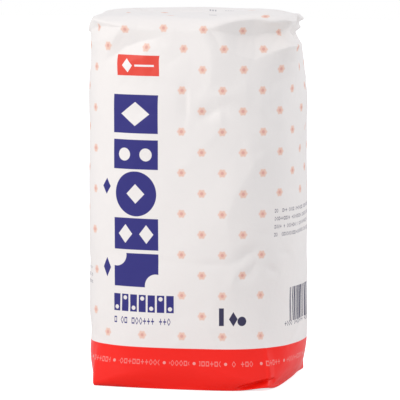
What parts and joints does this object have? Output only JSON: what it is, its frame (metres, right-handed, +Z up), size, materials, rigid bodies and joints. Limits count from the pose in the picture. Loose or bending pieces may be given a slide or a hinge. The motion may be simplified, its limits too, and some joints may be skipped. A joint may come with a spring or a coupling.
{
  "type": "sugar packet",
  "caption": "Filled paper packet of sugar, block shaped with soft bulging walls, folded flat top with pointed paper corners and a folded base.",
  "frame": {"origin": "centre of the packet's outline at the underside of the folded base", "axes": "+Z up the packet, -Y out of the broad printed front, +X to the right along the front"},
  "size_m": [0.1026, 0.0818, 0.1748],
  "materials": {
    "paper": "smooth printed paper, slightly satin"
  },
  "bodies": {
    "root": {"packet": "paper"}
  },
  "joints": []
}
